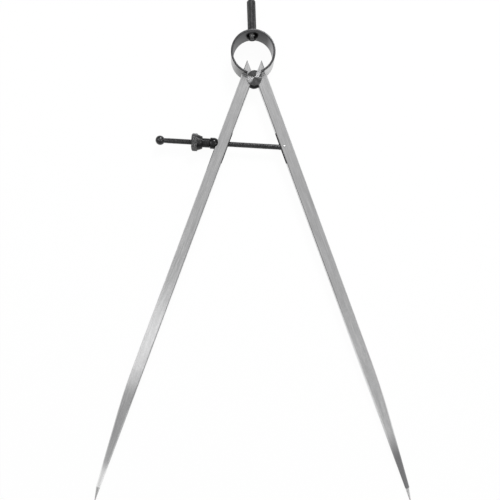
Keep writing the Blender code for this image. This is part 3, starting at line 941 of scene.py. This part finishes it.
class DIVIDERS_OT_nut(bpy.types.Operator):
    """Turns the adjusting nut with its straight knurl, and the round-nosed washer it presses on"""

    bl_idname = "dividers.nut"
    bl_label = "Adjusting Nut"

    def execute(self, context):
        settings = context.scene.dividers_nut
        self.nut(settings)
        self.washer(settings)
        return {"FINISHED"}

    def nut(self, settings):
        """The nut, its neck towards the leg."""
        radius = NUT_FLANGE_RADIUS
        cone = NUT_NECK_LENGTH + NUT_CONE_LENGTH
        end = cone + NUT_FLANGE_LENGTH
        chamfer = 0.62 * MM
        steps = settings.teeth * 4
        profile = [
            (SCREW_BORE, 0.3 * MM),
            (SCREW_BORE + 0.3 * MM, 0.0),
            (NUT_NECK_RADIUS - 0.15 * MM, 0.0),
            (NUT_NECK_RADIUS, 0.15 * MM),
            (NUT_NECK_RADIUS, NUT_NECK_LENGTH),
            (NUT_CONE_RADIUS - 0.1 * MM, NUT_NECK_LENGTH),
            (NUT_CONE_RADIUS + 0.03 * MM, NUT_NECK_LENGTH + 0.12 * MM),
            (NUT_CONE_END_RADIUS - 0.05 * MM, cone - 0.15 * MM),
            (NUT_CONE_END_RADIUS, cone),
            (radius - 0.12 * MM, cone),
            (radius, cone + 0.12 * MM),
            (radius, end - chamfer),
            (radius - 0.1 * MM, end - chamfer + 0.12 * MM),
            (radius - chamfer, end),
            (SCREW_BORE + 0.4 * MM, end),
            (SCREW_BORE, end - 0.4 * MM),
            (SCREW_BORE, 0.3 * MM),
        ]
        nut = turn("nut_knurled", profile, steps)

        def valley(point):
            """Two of each four points round the flange."""
            if math.hypot(point.x, point.y) < radius - 0.11 * MM:
                return False
            return round(math.atan2(point.y, point.x) / math.tau * steps) % 4 < 2

        select_verts(nut, valley)
        shrink = 1.0 - settings.depth / radius
        bpy.ops.transform.resize(value=(shrink, shrink, 1.0), center_override=(0.0, 0.0, 0.0))
        bpy.ops.object.mode_set(mode="OBJECT")
        axis = facing(ALONG_SCREW, NUT_START)
        steel = black_steel(
            "nut_steel", settings.black, settings.roughness, settings.steel, axis, *RUBBED_CONE
        )
        finish_piece(nut, axis, steel, sharp=24.0)
        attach(nut, "adjusting_nut")
        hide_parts("adjusting_nut")

    def washer(self, settings):
        """The washer, its round nose in the leg's seat."""
        start = math.pi - math.asin(SCREW_BORE / NOSE_RADIUS)
        profile = arc(NOSE_RADIUS, 0.0, start, math.pi / 2, 20)
        profile += [
            (NOSE_RADIUS, WASHER_BODY - 0.3 * MM),
            (NOSE_RADIUS - 0.08 * MM, WASHER_BODY - 0.1 * MM),
            (NOSE_RADIUS - 0.3 * MM, WASHER_BODY),
            (SCREW_BORE, WASHER_BODY),
            profile[0],
        ]
        washer = turn("washer_round", profile, 72)
        axis = facing(ALONG_SCREW, NUT_START - ALONG_SCREW * (WASHER_BODY + SEAT_GAP))
        finish_piece(washer, axis, black_steel("washer_black", settings.black, settings.roughness * 0.7))
        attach(washer, "thrust_washer")
        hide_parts("thrust_washer")


class DIVIDERS_OT_stage(bpy.types.Operator):
    """Lays a pale floor and sets the lamps, the surroundings and the camera"""

    bl_idname = "dividers.stage"
    bl_label = "Stage"

    def execute(self, context):
        settings = context.scene.dividers_stage
        self.floor(settings)
        self.surround(context, settings)
        for lamp in LAMPS:
            self.lamp(*lamp)
        self.camera(context, settings)
        context.scene.view_settings.view_transform = "Standard"
        return {"FINISHED"}

    def floor(self, settings):
        """A wide floor that shows white to the camera and in reflections, and keeps the shadow."""
        begin()
        bpy.ops.mesh.primitive_plane_add(size=8.0)
        floor = bpy.context.object
        floor.name = "floor"
        paint = Paint("floor")
        paint.set(Base_Color=settings.floor, Roughness=0.9)
        kinds = ("Camera", "Glossy", "Transmission")
        rays = [paint.node("ShaderNodeLightPath", {}, {}, f"Is {kind} Ray") for kind in kinds]
        seen = (rays[0] + (rays[1] + rays[2]) * settings.shine).clamped()
        glow = paint.node("ShaderNodeEmission", {}, {"Color": (1.0, 1.0, 1.0), "Strength": 1.0})
        body = Value(paint, paint.shader.outputs[0])
        whole = paint.node("ShaderNodeMixShader", {}, {0: seen * settings.glow, 1: body, 2: glow})
        paint.tree.links.new(whole.output, paint.tree.nodes["Material Output"].inputs["Surface"])
        floor.data.materials.append(paint.made)

    def surround(self, context, settings):
        """Even light from all round, which shows white to the camera past the floor's far edge."""
        paint = Paint("surround", bpy.data.worlds, "Background")
        camera = paint.node("ShaderNodeLightPath", {}, {}, "Is Camera Ray")
        strength = camera * (settings.glow - settings.surround) + settings.surround
        paint.set(Color=(1.0, 1.0, 1.0), Strength=strength)
        context.scene.world = paint.made

    def lamp(self, name, place, size, power):
        """A soft rectangular lamp."""
        begin()
        bpy.ops.object.light_add(type="AREA", location=place)
        lamp = bpy.context.object
        lamp.name = name
        lamp.data.shape = "RECTANGLE"
        lamp.data.size, lamp.data.size_y = size
        lamp.data.energy = power
        lamp.rotation_euler = (Vector(place) - LAMP_AIM).to_track_quat("Z", "Y").to_euler()

    def camera(self, context, settings):
        """Looks down on the dividers, square to their plane, from where the picture was taken."""
        offset = (FOOT_PIXEL - SPOOL_PIXEL) / PICTURE_SCALE
        foot = Vector((offset.x, -offset.y, settings.distance))
        begin()
        bpy.ops.object.camera_add()
        camera = context.object
        camera.matrix_world = PLANE @ Matrix.Translation(foot) @ Matrix.Rotation(PICTURE_ROLL, 4, "Z")
        camera.data.sensor_width = 36.0
        camera.data.lens = settings.distance * PICTURE_SCALE * camera.data.sensor_width / PICTURE_SIDE
        camera.data.shift_x = 0.5 - FOOT_PIXEL.x / PICTURE_SIDE
        camera.data.shift_y = FOOT_PIXEL.y / PICTURE_SIDE - 0.5
        camera.data.clip_start = 0.01
        context.scene.camera = camera


OPERATORS = (
    DIVIDERS_OT_legs,
    DIVIDERS_OT_spool,
    DIVIDERS_OT_bow,
    DIVIDERS_OT_grip,
    DIVIDERS_OT_screw,
    DIVIDERS_OT_nut,
    DIVIDERS_OT_stage,
)


class DIVIDERS_PT_panel(bpy.types.Panel):
    """Lists the pieces that can be made."""

    bl_idname = "DIVIDERS_PT_panel"
    bl_label = "Spring Dividers"
    bl_space_type = "VIEW_3D"
    bl_region_type = "UI"
    bl_category = "Dividers"

    def draw(self, context):
        for operator in OPERATORS:
            self.layout.operator(operator.bl_idname)


def register():
    """Adds the settings, the operators and the panel."""
    for name, group in GROUPS.items():
        bpy.utils.register_class(group)
        setattr(bpy.types.Scene, name, bpy.props.PointerProperty(type=group))
    for made in (*OPERATORS, DIVIDERS_PT_panel):
        bpy.utils.register_class(made)


def unregister():
    """Takes away what register added."""
    for made in reversed((*OPERATORS, DIVIDERS_PT_panel)):
        bpy.utils.unregister_class(made)
    for name, group in reversed(GROUPS.items()):
        delattr(bpy.types.Scene, name)
        bpy.utils.unregister_class(group)


def main():
    """Makes every piece and the stage."""
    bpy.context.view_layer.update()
    register()
    bpy.ops.dividers.legs()
    bpy.ops.dividers.spool()
    bpy.ops.dividers.bow()
    bpy.ops.dividers.grip()
    bpy.ops.dividers.screw()
    bpy.ops.dividers.nut()
    bpy.ops.dividers.stage()


if __name__ == "__main__":
    main()
